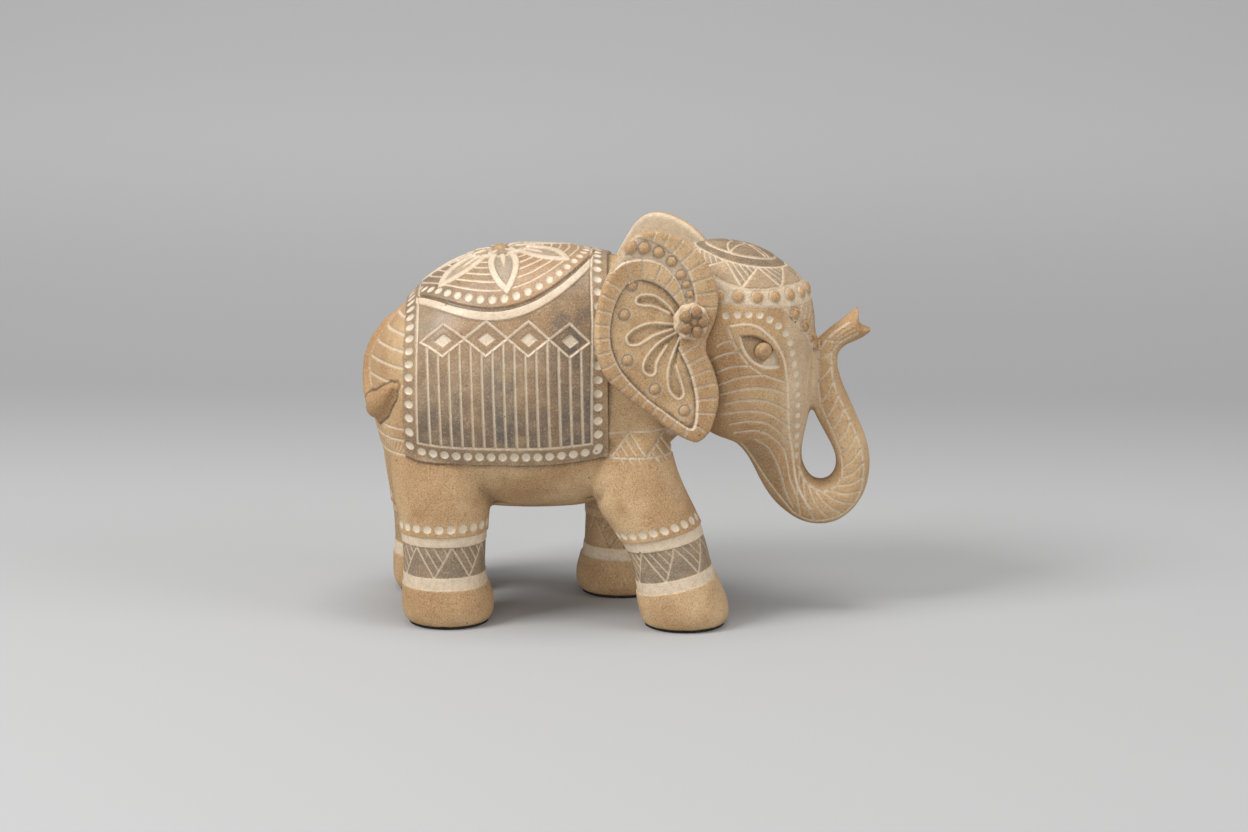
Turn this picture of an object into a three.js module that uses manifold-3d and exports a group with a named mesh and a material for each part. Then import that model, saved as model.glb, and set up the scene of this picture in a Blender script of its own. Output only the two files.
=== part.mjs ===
// A carved elephant figurine with a raised trunk, flared ears and a carved saddle cloth.
//
// Millimetres, +Z up, +X towards the head, +Y towards the elephant's left side. The origin is on
// the floor, under the middle of its length.
//
// One carved block holds the body, legs, head, trunk and tail. The ears are carved separately,
// glued to flats on the head and pinned with dowels. A flower boss covers the head of each upper
// dowel. The eye beads and the finial on the back are turned and pegged in, and each foot stands
// on a felt pad.
import * as THREE from 'three';
import { mergeVertices } from 'three/addons/utils/BufferGeometryUtils.js';
import Module from 'manifold-3d';

const wasm = await Module();
wasm.setup();

// ---- Driving dimensions ----

const GLUE = 0.1; // glue film between two seated faces
const PEG_PLAY = 0.15; // radial room round a dowel or peg, which glue fills
const TIP_ROOM = 0.8; // empty end of a blind hole, past the tip of its peg
const CLEAR = 3; // how far a cutter runs on past the face that it opens
const PAD = { height: 1, radius: 15.5, sides: 48 };
const SOLE = PAD.height + GLUE; // height of the soles of the feet
const LEG_Y = 24.5; // middle of each leg, either side of the middle plane

// The block is skinned from cross-sections. Each row gives two opposite points of the side outline
// and the half width between them: [x, z, x, z, half width].
const TORSO = [
  [-97.6, 91, -97.6, 97, 2],
  [-96.8, 83.5, -96, 103.5, 7.5],
  [-94.4, 74.5, -91.2, 111.5, 16.5],
  [-91.2, 64.5, -84.6, 119.7, 26],
  [-87, 54.5, -76.4, 128.2, 34.4],
  [-79, 47.6, -65.2, 136, 40.2],
  [-64, 43.4, -52.5, 141.2, 43],
  [-46, 42, -38, 143.4, 43.5],
  [-27, 41.8, -22, 143.5, 43],
  [-9, 43.6, -6, 141.6, 39.8],
  [4, 50, 8, 138.4, 35.6],
  [14, 60, 22, 134.5, 30.5],
  [23, 69, 35, 131, 25],
  [31, 76, 45, 128, 18],
];
const HEAD_AND_TRUNK = [
  [38, 147.2, 43, 147.2, 3],
  [28.5, 145.4, 54.5, 144.8, 12],
  [20.5, 140.8, 64.5, 139.4, 19.5],
  [15, 133.6, 72.6, 132, 24.3],
  [12.5, 124.6, 76.4, 123.6, 27],
  [12, 113, 77.6, 113, 28.2],
  [14.5, 100.5, 77.6, 102, 28],
  [20.5, 88.5, 77.2, 91.5, 26.4],
  [28.5, 78.5, 76.6, 82.5, 23.8],
  [37.5, 71.8, 75, 75, 20.6],
  [46, 68.8, 73.8, 69, 17.4],
  [52, 62.2, 73.2, 63.4, 14.8],
  [56.3, 53.8, 74, 58.6, 12.8],
  [60.8, 46.2, 75.8, 55.2, 11.6],
  [66.4, 40.4, 77.9, 53.1, 11],
  [73, 36.2, 80, 52.5, 10.4],
  [80, 34.7, 82.2, 52.6, 10],
  [87.4, 36.1, 84.2, 53.7, 9.6],
  [93.8, 41, 85.8, 55.6, 9.2],
  [98.1, 48, 86.6, 58.2, 8.9],
  [99.9, 56, 86.6, 62, 8.6],
  [99.7, 64, 85, 66.4, 8.2],
  [97.5, 72, 82.4, 71.2, 7.8],
  [94.2, 79.5, 79.6, 76.4, 7.4],
  [91.6, 85.3, 77.2, 81.6, 7],
  [88.8, 91.5, 76.8, 88, 6.5],
  [86.9, 98, 76.7, 95, 6.1],
  [87, 103, 76.9, 102, 5.8],
  [89.6, 106.4, 78.6, 108, 5.7],
  [93.5, 108.2, 82.8, 112.6, 5.9],
  [97, 110, 88.4, 116.8, 6.3],
  [99.9, 112.3, 94, 121.8, 6.8],
];
const HIND_LEG = [
  [-15.7, 86, 14.3, 86, 7],
  [-21.5, 70, 17.3, 70, 13.5],
  [-21.2, 54, 18.3, 54, 16.8],
  [-19.3, 42, 16.3, 42, 17.2],
  [-18.5, 30, 15.6, 30, 17],
  [-18.2, 18, 15.5, 18, 17],
  [-18.3, 10, 17.6, 10, 17.9],
  [-18, 4.5, 17.7, 4.5, 17.9],
  [-16.3, SOLE, 16.3, SOLE, 16.3],
];
const STRIDING_LEG = [
  [-32, 86, -8, 86, 5],
  [-36, 72, -5.5, 72, 11.5],
  [-37.5, 60, -2.4, 60, 15.2],
  [-36, 50, 2, 50, 16.8],
  [-29.4, 40, 6.8, 40, 17.2],
  [-23.5, 30, 10, 30, 17],
  [-20.2, 20, 12.5, 20, 17],
  [-18.7, 11, 16.3, 11, 17.9],
  [-17.5, 5, 17.6, 5, 17.9],
  [-16.3, SOLE, 16.3, SOLE, 16.3],
];
const STANDING_LEG = [
  [-14.5, 86, 15, 86, 5],
  [-16, 66, 19, 66, 12.5],
  [-15.7, 50, 18.5, 50, 16.6],
  [-15.1, 38, 18.1, 38, 17.1],
  [-15.3, 26, 17.8, 26, 17],
  [-16, 17, 17.7, 17, 17],
  [-17.8, 10, 18, 10, 17.9],
  [-18, 4.5, 18, 4.5, 17.9],
  [-16.3, SOLE, 16.3, SOLE, 16.3],
];
// Where the middle of each foot stands along the elephant.
const LEGS = [
  { name: 'hind_right', x: -64.3, side: -1, stations: HIND_LEG },
  { name: 'hind_left', x: -74, side: 1, stations: HIND_LEG },
  { name: 'front_right', x: 28, side: -1, stations: STRIDING_LEG },
  { name: 'front_left', x: 0.5, side: 1, stations: STANDING_LEG },
];
// The tail lies on the rump, hooks round to the right and ends in a tuft: [x, y, z, radius].
const TAIL = [
  [-82, 0, 120, 2],
  [-89.6, 0, 112.4, 2.8],
  [-94.8, -0.5, 104.3, 3.1],
  [-96.8, -2, 95.5, 3.1],
  [-96, -6.5, 88, 3.1],
  [-93.6, -13.4, 83.8, 3.5],
  [-91.6, -20.2, 84, 4.7],
  [-88.9, -26.8, 87.4, 4.7],
  [-86, -31.6, 91.8, 2.9],
  [-84, -34.4, 95, 0.8],
];
// The notch that leaves two fingers at the end of the trunk, in the side view: [x, z]. The first
// point is the bottom of the notch, between the fingers.
const NOTCH = [[94.8, 114], [103, 112.8], [103, 124], [94.4, 123.5]];

// Ears. Each lies in a plane through this point of the head, turned out at the rear and leaning
// in at the top.
const EAR_ROOT = new THREE.Vector3(38, -28.9, 107);
const EAR_FLARE = THREE.MathUtils.degToRad(18);
const EAR_LEAN = THREE.MathUtils.degToRad(5);
const LEFT_EAR_DROP = 2.6; // the left ear is set a little lower than the right
const EAR_THICKNESS = 4.6;
const EAR_ROUNDING = 1.2;
// Edge of the ear in its own plane, measured from the root: [forwards, up]. It runs from the lower
// tip up the front, over the top and down the rear.
const EAR_EDGE = [
  [-7.4, -32.8],
  [-2.1, -28.8],
  [1.9, -16],
  [0.2, -5.4],
  [-3.2, 4],
  [0.9, 14],
  [2.5, 22],
  [1, 30],
  [-4, 39],
  [-12.6, 45.9],
  [-23.1, 48.9],
  [-31, 46.2],
  [-37.2, 38.2],
  [-42.7, 28],
  [-46, 15],
  [-45.7, 3.5],
  [-41, -7.8],
  [-27.8, -19.2],
  [-14.7, -29.3],
];
const EAR_SEAT = { at: [-13, 0], width: 20, height: 36, depth: 20 };
const UPPER_DOWEL = { at: [-9.2, 14], radius: 3, inHead: 14, pastEar: 2.5 };
const LOWER_DOWEL = { at: [-12, -9], radius: 2.5, inHead: 12, inEar: 2.6 };
const BOSS = { radius: 6.9, height: 4.6, knobs: 5, knobRadius: 2.2, knobCircle: 3.7 };

// Turned buttons: a dome on a peg. The middle of the dome's flat back sits at `at`.
const EYE = {
  at: new THREE.Vector3(57.9, -25.4, 108.4),
  turn: THREE.MathUtils.degToRad(18),
  radius: 3.4,
  bulge: 2.3,
  pegRadius: 1.5,
  pegLength: 7,
};
const FINIAL = {
  at: new THREE.Vector3(-45, 0, 142.9),
  radius: 3.4,
  bulge: 2.3,
  pegRadius: 1.6,
  pegLength: 9,
};

const WOOD = 0xbf9b6c;
const DOWEL_WOOD = 0xd8c29a;
const FELT = 0x161412;

// ---- Solids and booleans ----

function solidOf(geometry) {
  geometry.deleteAttribute('normal');
  geometry.deleteAttribute('uv');
  const merged = mergeVertices(geometry, 1e-4);
  const mesh = new wasm.Mesh({
    numProp: 3,
    vertProperties: new Float32Array(merged.attributes.position.array),
    triVerts: new Uint32Array(merged.index.array),
  });
  return new wasm.Manifold(mesh);
}

function geometryOf(solid) {
  const { vertProperties, triVerts } = solid.getMesh();
  const geometry = new THREE.BufferGeometry();
  geometry.setAttribute('position', new THREE.BufferAttribute(vertProperties, 3));
  geometry.setIndex(new THREE.BufferAttribute(triVerts, 1));
  geometry.computeVertexNormals();
  return geometry;
}

const union = (solids) => solids.reduce((whole, next) => whole.add(next));
const without = (solid, cutters) => cutters.reduce((rest, cutter) => rest.subtract(cutter), solid);

// The same shape on the elephant's left side, and lower by the drop.
function mirrored(geometry, drop = 0) {
  const copy = mergeVertices(geometry.clone(), 1e-4);
  copy.scale(1, -1, 1).translate(0, 0, -drop);
  copy.setIndex([...copy.index.array].reverse());
  return copy;
}

// ---- Lofts ----

// A closed skin through a row of rings, which all hold the same number of points. Seen from the
// last ring, looking back along the row, every ring runs clockwise.
function loft(rings) {
  const sides = rings[0].length;
  const middle = (ring) =>
    ring.reduce((sum, p) => sum.add(p), new THREE.Vector3()).divideScalar(sides);
  const points = rings.flat();
  const first = points.push(middle(rings[0])) - 1;
  const last = points.push(middle(rings.at(-1))) - 1;
  const end = (rings.length - 1) * sides;

  const faces = [];
  for (let k = 0; k < sides; k++) {
    const next = (k + 1) % sides;
    faces.push(first, k, next, last, end + next, end + k);
    for (let a = 0; a < end; a += sides) {
      const b = a + sides;
      faces.push(a + k, b + next, a + next, a + k, b + k, b + next);
    }
  }
  const geometry = new THREE.BufferGeometry().setFromPoints(points);
  geometry.setIndex(faces);
  return solidOf(geometry);
}

// Skin of a row of stations. Each ring is an oval, squared off a little, whose plane stands across
// the middle plane of the elephant.
function stationSkin(stations, { perGap, sides, squareness, x = 0, y = 0 }) {
  const curve = (pick) => new THREE.CatmullRomCurve3(stations.map((s) => new THREE.Vector3(...pick(s))));
  const lower = curve(([x1, z1]) => [x + x1, y, z1]);
  const upper = curve(([, , x2, z2]) => [x + x2, y, z2]);
  const width = curve(([, , , , w]) => [w, 0, 0]);
  const square = (v) => Math.sign(v) * Math.abs(v) ** (2 / squareness);

  const count = (stations.length - 1) * perGap;
  const rings = [];
  for (let i = 0; i <= count; i++) {
    const t = i / count;
    const from = lower.getPoint(t);
    const to = upper.getPoint(t);
    const centre = from.clone().lerp(to, 0.5);
    const reach = to.sub(centre);
    const half = width.getPoint(t).x;
    const ring = [];
    for (let k = 0; k < sides; k++) {
      const angle = (2 * Math.PI * k) / sides;
      const point = centre.clone().addScaledVector(reach, square(Math.cos(angle)));
      point.y += half * square(Math.sin(angle));
      ring.push(point);
    }
    rings.push(ring);
  }
  return loft(rings);
}

// A round tapering rod along [x, y, z, radius] points.
function taperedRod(points, count, sides) {
  const path = new THREE.CatmullRomCurve3(points.map(([x, y, z]) => new THREE.Vector3(x, y, z)));
  const radii = new THREE.CatmullRomCurve3(points.map(([, , , r]) => new THREE.Vector3(r, 0, 0)));
  const { normals, binormals } = path.computeFrenetFrames(count);
  const rings = [];
  for (let i = 0; i <= count; i++) {
    const centre = path.getPointAt(i / count);
    const radius = radii.getPoint(path.getUtoTmapping(i / count)).x;
    const ring = [];
    for (let k = 0; k < sides; k++) {
      const angle = (2 * Math.PI * k) / sides;
      const point = centre.clone();
      point.addScaledVector(normals[i], radius * Math.cos(angle));
      point.addScaledVector(binormals[i], -radius * Math.sin(angle));
      ring.push(point);
    }
    rings.push(ring);
  }
  return loft(rings);
}

// ---- Frames: local +Z always points out of the surface that a piece is fixed to ----

// The plane of the right ear. Local +X runs forwards in it and +Y up it, and z = 0 is its inner
// face.
const earPlane = new THREE.Matrix4()
  .makeTranslation(EAR_ROOT)
  .multiply(new THREE.Matrix4().makeRotationZ(EAR_FLARE))
  .multiply(new THREE.Matrix4().makeRotationX(Math.PI / 2 - EAR_LEAN));

const onEar = ([u, v], out) => new THREE.Matrix4().makeTranslation(u, v, out).premultiply(earPlane);

const eyeFrame = new THREE.Matrix4()
  .makeTranslation(EYE.at)
  .multiply(new THREE.Matrix4().makeRotationZ(EYE.turn))
  .multiply(new THREE.Matrix4().makeRotationX(Math.PI / 2));

const finialFrame = new THREE.Matrix4().makeTranslation(FINIAL.at);

// A round bar along the frame's Z, between two heights.
function bar(frame, radius, from, to, sides = 32) {
  const cylinder = new THREE.CylinderGeometry(radius, radius, to - from, sides);
  cylinder.rotateX(Math.PI / 2);
  cylinder.translate(0, 0, (from + to) / 2);
  return cylinder.applyMatrix4(frame);
}

// ---- The carved block ----

function carvedBlock() {
  const torso = stationSkin(TORSO, { perGap: 3, sides: 40, squareness: 2.4 });
  const head = stationSkin(HEAD_AND_TRUNK, { perGap: 2, sides: 26, squareness: 2.15 });
  const legs = LEGS.map(({ x, side, stations }) =>
    stationSkin(stations, { perGap: 2, sides: 26, squareness: 2.1, x, y: side * LEG_Y }));
  const tail = taperedRod(TAIL, 26, 12);
  const seat = earSeat();
  const seats = [seat, mirrored(seat, LEFT_EAR_DROP)].map(solidOf);
  const blank = union([torso, head, ...legs, tail, ...seats]);
  return geometryOf(without(blank, [trunkNotch(), ...pegHoles()]));
}

// The raised flat that an ear is glued to.
function earSeat() {
  const oval = new THREE.Shape();
  oval.absellipse(...EAR_SEAT.at, EAR_SEAT.width / 2, EAR_SEAT.height / 2, 0, 2 * Math.PI);
  const seat = new THREE.ExtrudeGeometry(oval, {
    depth: EAR_SEAT.depth,
    bevelEnabled: false,
    curveSegments: 18,
  });
  seat.translate(0, 0, -EAR_SEAT.depth - GLUE);
  return seat.applyMatrix4(earPlane);
}

function trunkNotch() {
  const width = 30; // wider than the trunk
  const wedge = new THREE.Shape(NOTCH.map(([x, z]) => new THREE.Vector2(x, z)));
  const cutter = new THREE.ExtrudeGeometry(wedge, { depth: width, bevelEnabled: false });
  cutter.rotateX(Math.PI / 2);
  cutter.translate(0, width / 2, 0);
  return solidOf(cutter);
}

function pegHoles() {
  const dowels = [UPPER_DOWEL, LOWER_DOWEL].map(({ at, radius, inHead }) =>
    bar(onEar(at, 0), radius + PEG_PLAY, -inHead, CLEAR));
  const eye = buttonHoles(eyeFrame, EYE);
  return [
    ...dowels,
    ...dowels.map((hole) => mirrored(hole, LEFT_EAR_DROP)),
    ...eye,
    ...eye.map((hole) => mirrored(hole)),
    ...buttonHoles(finialFrame, FINIAL),
  ].map(solidOf);
}

// A flat-bottomed pocket for a button's dome and a blind hole for its peg.
function buttonHoles(frame, { radius, pegRadius, pegLength }) {
  return [
    bar(frame, radius + PEG_PLAY, -GLUE, 2 * CLEAR, 28),
    bar(frame, pegRadius + PEG_PLAY, -pegLength - TIP_ROOM, CLEAR, 20),
  ];
}

// ---- The pieces fixed to it, made for the right side ----

function ear() {
  const outline = new THREE.Shape();
  const edge = EAR_EDGE.map(([u, v]) => new THREE.Vector2(u, v));
  outline.moveTo(edge[0].x, edge[0].y);
  outline.splineThru([...edge.slice(1), edge[0]]);
  const plate = new THREE.ExtrudeGeometry(new THREE.Shape(outline.getSpacedPoints(64)), {
    depth: EAR_THICKNESS - 2 * EAR_ROUNDING,
    bevelThickness: EAR_ROUNDING,
    bevelSize: EAR_ROUNDING,
    bevelOffset: -EAR_ROUNDING,
    bevelSegments: 3,
  });
  plate.translate(0, 0, EAR_ROUNDING);
  const { at, radius, inEar } = LOWER_DOWEL;
  return geometryOf(without(solidOf(plate.applyMatrix4(earPlane)), [
    solidOf(bar(onEar(UPPER_DOWEL.at, 0), UPPER_DOWEL.radius + PEG_PLAY, -CLEAR, EAR_THICKNESS + CLEAR)),
    solidOf(bar(onEar(at, 0), radius + PEG_PLAY, -CLEAR, inEar + GLUE)),
  ]));
}

function upperDowel() {
  const { at, radius, inHead, pastEar } = UPPER_DOWEL;
  return bar(onEar(at, 0), radius, TIP_ROOM - inHead, EAR_THICKNESS + pastEar);
}

function lowerDowel() {
  const { at, radius, inHead, inEar } = LOWER_DOWEL;
  return bar(onEar(at, 0), radius, TIP_ROOM - inHead, inEar);
}

// A dome with a ring of round petals, hollowed for the end of the upper dowel.
function flowerBoss() {
  const dome = new THREE.SphereGeometry(1, 32, 18);
  dome.scale(BOSS.radius, BOSS.radius, BOSS.height);
  const knobs = [];
  for (let k = 0; k < BOSS.knobs; k++) {
    const angle = (2 * Math.PI * k) / BOSS.knobs;
    const knob = new THREE.SphereGeometry(BOSS.knobRadius, 12, 8);
    const reach = BOSS.knobCircle;
    knob.translate(reach * Math.cos(angle), reach * Math.sin(angle), BOSS.height * 0.68);
    knobs.push(solidOf(knob));
  }
  const size = 3 * BOSS.radius;
  const behind = new THREE.BoxGeometry(size, size, size).translate(0, 0, -size / 2);
  const socket = bar(new THREE.Matrix4(), UPPER_DOWEL.radius + PEG_PLAY, -CLEAR, UPPER_DOWEL.pastEar);
  const flower = without(union([solidOf(dome), ...knobs]), [solidOf(behind), solidOf(socket)]);
  return geometryOf(flower).applyMatrix4(onEar(UPPER_DOWEL.at, EAR_THICKNESS + GLUE));
}

function button(frame, { radius, bulge, pegRadius, pegLength }) {
  const steps = 8;
  const profile = [
    new THREE.Vector2(0, -pegLength),
    new THREE.Vector2(pegRadius, -pegLength),
    new THREE.Vector2(pegRadius, 0),
  ];
  for (let k = 0; k < steps; k++) {
    const angle = (Math.PI / 2) * (k / steps);
    profile.push(new THREE.Vector2(radius * Math.cos(angle), bulge * Math.sin(angle)));
  }
  profile.push(new THREE.Vector2(0, bulge));
  return new THREE.LatheGeometry(profile, 28).rotateX(Math.PI / 2).applyMatrix4(frame);
}

function footPad({ x, side }) {
  const middle = new THREE.Matrix4().makeTranslation(x, side * LEG_Y, 0);
  return bar(middle, PAD.radius, 0, PAD.height, PAD.sides);
}

// ---- The assembly ----

const elephant = new THREE.Group();

function place(name, geometry, color, roughness) {
  const material = new THREE.MeshStandardMaterial({ color, roughness, metalness: 0 });
  const mesh = new THREE.Mesh(geometry, material);
  mesh.name = name;
  elephant.add(mesh);
}

function placePair(name, geometry, color, roughness, drop = 0) {
  place(`${name}_left`, mirrored(geometry, drop), color, roughness);
  place(`${name}_right`, geometry, color, roughness);
}

place('carved_block', carvedBlock(), WOOD, 0.85);
placePair('ear', ear(), WOOD, 0.85, LEFT_EAR_DROP);
placePair('ear_boss', flowerBoss(), WOOD, 0.85, LEFT_EAR_DROP);
placePair('upper_ear_dowel', upperDowel(), DOWEL_WOOD, 0.9, LEFT_EAR_DROP);
placePair('lower_ear_dowel', lowerDowel(), DOWEL_WOOD, 0.9, LEFT_EAR_DROP);
placePair('eye_bead', button(eyeFrame, EYE), WOOD, 0.7);
place('back_finial', button(finialFrame, FINIAL), WOOD, 0.7);
for (const leg of LEGS) {
  place(`foot_pad_${leg.name}`, footPad(leg), FELT, 1);
}

export default elephant;
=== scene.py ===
"""Looks for the carved elephant figurine: carved relief, paint washes, studio floor and light.

The carving is worked out in millimetres on each CAD piece's own surface. A Carving object holds
the relief height and the paint at every surface point, and each pattern adds its cuts to it.
The elephant's right side faces the camera, and the patterns are the same on the left side.
"""

import math

import bmesh
import bpy
import numpy as np
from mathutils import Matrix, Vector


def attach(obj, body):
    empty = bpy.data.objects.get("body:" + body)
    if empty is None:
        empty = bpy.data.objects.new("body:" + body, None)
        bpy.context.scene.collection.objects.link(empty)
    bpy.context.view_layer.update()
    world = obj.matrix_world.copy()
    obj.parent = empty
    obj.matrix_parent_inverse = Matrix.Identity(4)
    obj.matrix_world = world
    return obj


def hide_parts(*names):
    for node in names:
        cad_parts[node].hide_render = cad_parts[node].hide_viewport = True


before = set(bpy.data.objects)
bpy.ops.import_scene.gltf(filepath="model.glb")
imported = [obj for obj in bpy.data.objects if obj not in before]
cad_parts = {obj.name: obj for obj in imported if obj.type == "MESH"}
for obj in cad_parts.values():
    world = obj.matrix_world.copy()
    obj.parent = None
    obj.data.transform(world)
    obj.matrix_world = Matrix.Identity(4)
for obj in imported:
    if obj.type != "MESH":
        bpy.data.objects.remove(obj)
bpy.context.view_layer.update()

MM = 0.001
FINE = 0.34  # edge length of the mesh along a cut, in mm
FAR_SIDE = 0.5  # the same on the elephant's left side
COARSE = 1.5  # edge length of the mesh away from every cut
CREAM_SHARE = 0.85  # cream on broad areas, where it is thinner than in the dots
SOFT = 0.22  # how far the edge of a cut is spread, in mm
FAR = 99.0  # a distance beyond every cut, in mm


# ---- Plane geometry: distances from many points to simple shapes ----


def segment(u, v, start, end):
    """Distance to a straight line between two points."""
    du, dv = end[0] - start[0], end[1] - start[1]
    along = ((u - start[0]) * du + (v - start[1]) * dv) / max(du * du + dv * dv, 1e-9)
    along = np.clip(along, 0, 1)
    return np.hypot(u - start[0] - along * du, v - start[1] - along * dv)


def smooth_path(points):
    """A smooth curve through the points, as a row of points five times as dense."""
    p = np.array(points, float)
    p = np.vstack([2 * p[0] - p[1], p, 2 * p[-1] - p[-2]])
    t = np.linspace(0, 1, 5, endpoint=False)[:, None]
    rows = []
    for a, b, c, d in zip(p, p[1:], p[2:], p[3:]):
        rows.append(
            b
            + 0.5 * t * (c - a)
            + t**2 * (a - 2.5 * b + 2 * c - 0.5 * d)
            + t**3 * (1.5 * b - 0.5 * a - 1.5 * c + 0.5 * d)
        )
    rows.append(p[-2][None])
    return np.vstack(rows)


def lengths_along(path):
    """Distance along a path from its start to each of its points."""
    return np.concatenate([[0], np.cumsum(np.hypot(*np.diff(path, axis=0).T))])


def evenly(path, spacing):
    """Points along a path, a fixed distance apart, starting half a spacing in."""
    length = lengths_along(path)
    count = max(int(round(length[-1] / spacing)), 1)
    at = (np.arange(count) + 0.5) * length[-1] / count
    return np.column_stack([np.interp(at, length, path[:, k]) for k in (0, 1)])


def point_at(path, fraction):
    """The point at a fraction of a path's length."""
    length = lengths_along(path)
    at = np.clip(fraction, 0, 1) * length[-1]
    return np.array([np.interp(at, length, path[:, k]) for k in (0, 1)])


def polyline(u, v, path):
    """Distance to a row of joined segments."""
    best = np.full(len(u), 1e3)
    low, high = path.min(0) - 4, path.max(0) + 4
    near = np.nonzero((u > low[0]) & (u < high[0]) & (v > low[1]) & (v < high[1]))[0]
    if len(near):
        un, vn = u[near], v[near]
        found = best[near]
        for start, end in zip(path, path[1:]):
            found = np.minimum(found, segment(un, vn, start, end))
        best[near] = found
    return best


def inside(u, v, path):
    """True inside a closed path."""
    odd = np.zeros(len(u), bool)
    for (u1, v1), (u2, v2) in zip(path, np.roll(path, -1, axis=0)):
        crosses = (v1 > v) != (v2 > v)
        slope = (u2 - u1) / np.where(abs(v2 - v1) < 1e-9, 1e-9, v2 - v1)
        odd ^= crosses & (u < u1 + slope * (v - v1))
    return odd


def leaf(along, across, half_length, half_width):
    """Signed distance to a pointed leaf: negative inside it."""
    radius = (half_length**2 + half_width**2) / (2 * half_width)
    return np.hypot(along, abs(across) + radius - half_width) - radius


def ramp(distance, soft=SOFT):
    """1 where the distance is well below 0, 0 well above it, and smooth between."""
    t = np.clip(0.5 - distance / (2 * soft), 0, 1)
    return t * t * (3 - 2 * t)


# ---- The carving ----


class Carving:
    """Relief height (mm) and paint (0 to 1) at a set of surface points."""

    def __init__(self, points):
        self.points = points
        count = len(points)
        self.height = np.zeros(count)
        self.cream = np.zeros(count)
        self.dark = np.zeros(count)
        self.rust = np.zeros(count)
        self.polish = np.zeros(count)
        self.edge = np.full(count, FAR)

    def mark(self, on, distance, where):
        """Notes how near each point is to the edge of a cut, for the mesh to be refined there."""
        seen = abs(distance) if where is None else np.where(where > 0.02, abs(distance), FAR)
        self.edge[on] = np.minimum(self.edge[on], seen)

    def paint(self, layer, on, amount):
        """Lays paint over what is there. Cream covers dark, and dark covers cream."""
        amount = np.clip(amount, 0, 1)
        for name in ("cream", "dark", "rust"):
            values = getattr(self, name)
            if name == layer:
                values[on] = np.maximum(values[on], amount)
            elif name != "rust" and layer != "rust":
                values[on] = values[on] * (1 - amount)

    def line(self, on, distance, width=0.85, depth=0.45, cream=0.86, where=None):
        """A groove filled with cream paint."""
        edge = distance - width / 2
        cover = ramp(edge) if where is None else ramp(edge) * where
        self.height[on] -= depth * cover
        self.paint("cream", on, cream * cover)
        self.mark(on, edge, where)

    def area(self, on, distance, lift=0.0, layer=None, amount=1.0, where=None, soft=SOFT):
        """Raises or lowers everything inside a shape (distance below 0) and paints it."""
        cover = ramp(distance, soft) if where is None else ramp(distance, soft) * where
        self.height[on] += lift * cover
        if layer:
            self.paint(layer, on, amount * cover * (CREAM_SHARE if layer == "cream" else 1))
        self.mark(on, distance, where)

    def dots(self, on, distance, radius=1.6, depth=0.55):
        """Shallow round dimples of cream paint."""
        bowl = np.clip(1 - (distance / radius) ** 2, 0, 1) ** 0.6
        self.height[on] -= depth * bowl
        self.paint("cream", on, ramp(distance - radius))
        self.mark(on, distance - radius, None)

    def beads(self, on, distance, radius, height):
        """Round brown domes with a groove cut round them."""
        dome = np.sqrt(np.clip(1 - (distance / radius) ** 2, 0, 1))
        moat = np.clip(1 - abs(distance - radius * 1.12) / 0.5, 0, 1)
        self.height[on] += height * dome - 0.35 * moat
        self.paint("rust", on, 0.8 * ramp(distance - radius * 0.95))
        self.cream[on] *= 1 - ramp(distance - radius * 0.95)
        self.mark(on, distance - radius, None)


def nearest_dot(u, v, centres):
    """Distance to the nearest of some points."""
    best = np.full(len(u), FAR)
    for cu, cv in centres:
        best = np.minimum(best, np.hypot(u - cu, v - cv))
    return best


# ---- Body patterns. `girth` runs round the body from the spine, along the skin ----

CLOTH_BOTTOM = 100.0
CLOTH_LINE = 93.0  # inner line of the border along the bottom


def girth(y, z):
    """Distance round the body from the spine. The body's section is close to an ellipse."""
    half_width, middle_height, half_height = 43, 92.5, 51.3
    turn = np.arctan2(abs(y) / half_width, (z - middle_height) / half_height)
    return 47 * turn - 2 * np.sin(2 * turn)


def saddle_cloth(c):
    x, y, z = c.points.T
    on = np.nonzero((x > -84) & (x < 2) & (z > 62))[0]
    u, v = x[on], girth(y[on], z[on])
    near_top = np.clip(1 - v / 45, 0, 1)
    rear, front = -79.0 - 2.2 * near_top, -1.0 - 2.6 * near_top
    edge = np.maximum(np.maximum(rear - u, u - front), v - CLOTH_BOTTOM)
    c.area(on, edge, lift=1.0, layer="dark", amount=0.72)
    c.polish[on] = ramp(edge)

    field = np.maximum(np.maximum(rear + 5.4 - u, u - front + 6.3), v - CLOTH_LINE)
    c.dark[on] = np.where(field < 0, cloth_wash(u, v), c.dark[on])
    c.line(on, abs(field), width=0.75)

    dots = np.full(len(on), FAR)
    for k in range(17):
        down = 3.2 + 5.75 * k
        dots = np.minimum(dots, np.hypot(u - rear - 2.4, v - down))
        dots = np.minimum(dots, np.hypot(u - front + 3.9, v - down))
    for k in range(1, 17):
        dots = np.minimum(dots, np.hypot(u + 76.6 - 4.45 * k, v - 96.4))
    c.dots(on, dots)

    diamonds_and_stripes(c, on, u, v)
    medallion(c, on, u, v * -np.sign(y[on]))


def cloth_wash(u, v):
    """The dark wash on the cloth: strongest low down, thin high up near the tail."""
    low = np.clip((v - 42) / 46, 0, 1)
    forward = np.clip((u + 78) / 66, 0, 1)
    return 0.55 + 0.53 * low * (0.78 + 0.22 * forward) + 0.22 * forward * (1 - low)


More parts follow.
